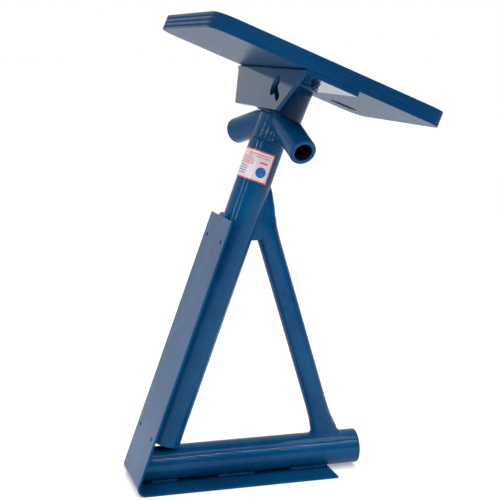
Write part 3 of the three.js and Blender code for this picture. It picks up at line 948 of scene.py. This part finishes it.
def screw_and_collar():
    """A trapezoid thread swept round the screw, trimmed square at both ends."""
    top = PAD_K - WEB_T - 0.0012
    root = SCREW_R - THREAD_DEPTH
    turns = int((top - SCREW_FOOT) / THREAD_LEAD) + 3
    start = SCREW_FOOT - THREAD_LEAD
    rise = [(root, 0.0), (root, 0.30), (SCREW_R, 0.44), (SCREW_R, 0.86), (root, 1.0)]
    bm = bmesh.new()
    verts = [bm.verts.new((r, 0, start + z * THREAD_LEAD)) for r, z in rise]
    edges = [bm.edges.new(pair) for pair in zip(verts, verts[1:])]
    steps = 28
    bmesh.ops.spin(bm, geom=verts + edges, cent=(0, 0, 0), axis=(0, 0, 1),
                   dvec=(0, 0, THREAD_LEAD / steps), angle=turns * 2 * math.pi,
                   steps=turns * steps, use_merge=False, use_duplicate=False)
    bmesh.ops.remove_doubles(bm, verts=bm.verts, dist=2e-6)
    for height, normal in ((SCREW_FOOT, (0, 0, -1)), (top, (0, 0, 1))):
        bmesh.ops.bisect_plane(bm, geom=bm.verts[:] + bm.edges[:] + bm.faces[:], dist=1e-7,
                               plane_co=(0, 0, height), plane_no=normal, clear_outer=True,
                               clear_inner=False)
        open_edges = [e for e in bm.edges if e.is_boundary
                      and all(abs(v.co.z - height) < 1e-5 for v in e.verts)]
        bmesh.ops.triangle_fill(bm, edges=open_edges, use_beauty=True)
    bmesh.ops.transform(bm, matrix=SCREW, verts=bm.verts)
    piece("threaded_screw", tidied(bm), steel, "screw", "bare_steel", "jack_screw", smooth=30)
    low = PAD_K - WEB_T - TOUCH - COLLAR_T
    piece("screw_collar", pipe(COLLAR_R, SCREW_R + TOUCH, low, low + COLLAR_T, SCREW), steel,
          "screw", "bare_steel", "thrust_collar")


def head_fittings():
    """The socket over the screw, the ring in its mouth and the weld at its top."""
    socket = pipe(SOCKET_R, SOCKET_BORE, -SOCKET_H, -WEB_T - TOUCH, PAD, rim=0.0014)
    piece("socket_pipe", socket, socket_shade_paint, "head", "blue_paint", "socket_tube")
    low = 0.001 - SOCKET_H
    ring = pipe(SOCKET_BORE - TOUCH, RING_BORE, low, low + RING_T, PAD)
    piece("retaining_ring", ring, socket_shade_paint, "head", "blue_paint", "keeper_ring")
    arc = [math.radians(a) for a in range(-128, 129, 4)]
    line = [(math.cos(a) * (SOCKET_R + 0.0012), math.sin(a) * (SOCKET_R + 0.0012),
             -WEB_T - 0.0014) for a in arc]
    piece("socket_weld", weld(line, SOCKET_WELD_R, PAD), over_weld, "head", "blue_paint",
          "socket_bead")


def angle_bracket():
    """The bracket under the pad: a bent plate whose flange tapers and has a keyhole."""
    u0 = WEB_U[0]
    outline = filleted([(WEB_U[1], -WEB_T, 0), (WEB_U[1], 0, 0), (u0, 0, BRACKET_BEND),
                        (u0, -FLANGE_H, 0), (u0 + FLANGE_T, -FLANGE_H, 0),
                        (u0 + FLANGE_T, -WEB_T, 0)], 6)
    plate = slab(outline, -WEB_Y, WEB_Y, PAD @ SIDE_VIEW)
    through = PAD @ Matrix.Translation((u0 - 0.005, 0, 0)) @ axes(
        ACROSS, Vector((0, 0, 1)), Vector((1, 0, 0)), Vector((0, 0, 0)))
    tools = []
    high, low = -WEB_T - 0.00001, -FLANGE_H - 0.005
    for side in (-1, 1):
        corner = [(side * FLANGE_TOP_Y, high), (side * 0.2, high), (side * 0.2, low),
                  (side * (FLANGE_FOOT_Y - 0.0045), low)]
        tools.append(slab(corner, 0, FLANGE_T + 0.00501, through))
        tools.append(disc(BOLT_HOLE_R, -0.02, 0.005,
                          PAD @ Matrix.Translation((0, side * BOLT_Y, 0)), 24))
    for y, h, radius in ((KEYHOLE_Y, KEYHOLE_H, KEYHOLE_R), (SLOT_Y, SLOT_H, SLOT_R)):
        tools.append(disc(radius, 0, 0.015, through @ Matrix.Translation((y, h, 0)), 40))
    run = Vector((SLOT_Y - KEYHOLE_Y, SLOT_H - KEYHOLE_H))
    slope = Matrix.Rotation(math.atan2(run.y, run.x), 4, "Z")
    tools.append(box((0, run.length), (-SLOT_R, SLOT_R), (0, 0.015),
                     through @ Matrix.Translation((KEYHOLE_Y, KEYHOLE_H, 0)) @ slope))
    piece("angle_bracket", eased(carved(plate, *tools), 0.0005), shaded_bracket_paint, "head", "blue_paint",
          "bracket", flat_faced=True)


def plywood_pad():
    """The board, with round corners and sunk seats for the bolt heads."""
    r = PAD_CORNER
    outline = filleted([(PAD_U[0], -PAD_Y, r), (PAD_U[1], -PAD_Y, r), (PAD_U[1], PAD_Y, r),
                        (PAD_U[0], PAD_Y, r)], 12)
    board = slab(outline, TOUCH, TOUCH + PAD_T, PAD)
    holes = []
    for side in (-1, 1):
        place = PAD @ Matrix.Translation((0, side * BOLT_Y, 0))
        holes.append(disc(BOLT_HOLE_R, -0.005, 0.04, place, 24))
        holes.append(disc(BOLT_HEAD_R + 0.0005, TOUCH + PAD_T - BOLT_SINK, 0.04, place, 32))
    board = eased(carved(board, *holes), 0.0007, segments=3)
    piece("plywood_pad", board, ply_paint, "head", "painted_plywood", "pad_board",
          flat_faced=True)


def hexagon(radius, low, high, place):
    """A hexagon nut blank with its corners turned down at both ends."""
    nut = slab([(radius * math.cos(math.radians(60 * i)), radius * math.sin(math.radians(60 * i)))
                for i in range(6)], low, high, place)
    reach = high - low
    cone = turned(filleted([(0, low - 0.0001, 0), (radius * 0.86, low - 0.0001, 0),
                            (radius * 1.06, low + reach * 0.22, 0),
                            (radius * 1.06, high - reach * 0.22, 0),
                            (radius * 0.86, high + 0.0001, 0), (0, high + 0.0001, 0)]), place, 48)
    return carved(nut, cone, operation="INTERSECT")


def pad_fasteners():
    """A carriage bolt, a washer and a nut on each side of the middle."""
    for word, side in SIDES:
        place = PAD @ Matrix.Translation((0, side * BOLT_Y, 0))
        seat = PAD_T + 2 * TOUCH - BOLT_SINK
        crown = [(BOLT_HEAD_R * math.cos(a), seat + 0.0006 + (BOLT_HEAD_H - 0.0006) * math.sin(a))
                 for a in [math.pi / 2 * i / 8 for i in range(9)]]
        shank = [(0, -BOLT_L), (BOLT_R - 0.0006, -BOLT_L), (BOLT_R, -BOLT_L + 0.0006)]
        grooves = []
        for i in range(9):
            z = -BOLT_L + 0.0014 + i * 0.0008
            grooves += [(BOLT_R, z), (BOLT_R - 0.0003, z + 0.0004)]
        outline = shank + grooves + [(BOLT_R, -0.0050), (BOLT_R, seat), (BOLT_HEAD_R, seat)] + crown
        outline = [Vector(p) for p in outline[:-1]] + [Vector((0, seat + BOLT_HEAD_H))]
        piece(f"carriage_bolt_{word}", turned(outline, place, 32), fastener, "head",
              "painted_fastener", f"pad_bolt_{word}")
        top = -WEB_T - TOUCH
        piece(f"flat_washer_{word}", pipe(WASHER_R, BOLT_R + TOUCH, top - WASHER_T, top, place,
                                          rim=0.00025, steps=48),
              fastener, "head", "painted_fastener", f"bolt_washer_{word}")
        top -= WASHER_T + TOUCH
        nut = carved(hexagon(NUT_R, top - NUT_T, top, place),
                     disc(BOLT_R + TOUCH, top - 2 * NUT_T, 0, place, 32))
        piece(f"hex_nut_{word}", nut, fastener, "head", "painted_fastener", f"bolt_nut_{word}",
              smooth=25)


flat_bar()
pipes()
brace_pipe()
seams()
joint_welds()
label_sheet()
cast_nut()
screw_and_collar()
head_fittings()
angle_bracket()
plywood_pad()
pad_fasteners()


# ---------------------------------------------------------------- studio
def camera():
    """Stands in front of the near side, a little to the left, and looks slightly down."""
    data = bpy.data.cameras.new("camera")
    data.lens = CAMERA_LENS
    data.sensor_width = 36
    made = bpy.data.objects.new("camera", data)
    bpy.context.scene.collection.objects.link(made)
    turn = (Matrix.Rotation(-CAMERA_YAW, 4, "Z") @ Matrix.Rotation(math.pi / 2 - CAMERA_DIP, 4, "X")
            @ Matrix.Rotation(-CAMERA_ROLL, 4, "Z"))
    made.matrix_world = Matrix.Translation(CAMERA_PLACE) @ turn
    bpy.context.scene.camera = made


def floor():
    """A pale floor that glows, and more so far behind the stand."""
    bm = bmesh.new()
    bmesh.ops.create_grid(bm, x_segments=1, y_segments=1, size=30)
    bmesh.ops.translate(bm, vec=(0, 0, -0.0002), verts=bm.verts)
    made = as_object(bm, "floor")
    look, start = material("pale_floor")
    _, depth, _ = split(object_place(start))
    glow = depth.fade(-900, -50) * 0.28 + depth.fade(300, 4500) * 0.32
    finished(look, start, {"Base Color": (0.88, 0.88, 0.89, 1), "Roughness": 0.9,
                           "Specular IOR Level": 0.1, "Emission Color": glow,
                           "Emission Strength": 1.0})
    made.data.materials.append(look)


def soft_box(name, place, aim_height, width, height, power):
    """A rectangular light that faces a point on the model's middle line."""
    data = bpy.data.lights.new(name, "AREA")
    data.shape = "RECTANGLE"
    data.size = width
    data.size_y = height
    data.energy = power
    made = bpy.data.objects.new(name, data)
    bpy.context.scene.collection.objects.link(made)
    toward = (Vector((0, 0, aim_height)) - Vector(place)).normalized()
    turn = toward.to_track_quat("-Z", "Y").to_matrix().to_4x4()
    made.matrix_world = Matrix.Translation(place) @ turn


def studio():
    """A white room that is brightest behind the stand, with a soft box and four strips."""
    world = bpy.data.worlds.new("studio")
    bpy.context.scene.world = world
    world.use_nodes = True
    tree = world.node_tree
    start = Field(tree)
    direction = start.node("TexCoord", output="Generated")
    _, depth, _ = split(direction)
    shade = depth.fade(-0.25, 0.45).ramp((0.0, (0.03, 0.035, 0.05)), (1.0, (1.0, 1.0, 1.0)))
    back = next(n for n in tree.nodes if n.type == "BACKGROUND")
    tree.links.new(shade.socket, back.inputs["Color"])
    back.inputs["Strength"].default_value = 1.0
    soft_box("top", (0.1, -0.5, 2.4), 0.2, 2.4, 1.6, 48)
    soft_box("left", (-2.2, -0.50, 1.0), 0.30, 0.06, 1.4, 12)
    soft_box("left_front", (-1.7, -1.45, 0.85), 0.30, 0.04, 1.4, 9)
    soft_box("strip", (0.62, -1.70, 1.63), 0.03, 1.6, 0.016, 19)
    soft_box("second_strip", (0.75, -2.02, 1.22), 0.03, 1.6, 0.012, 5)
    bpy.context.scene.view_settings.view_transform = "Standard"


camera()
floor()
studio()
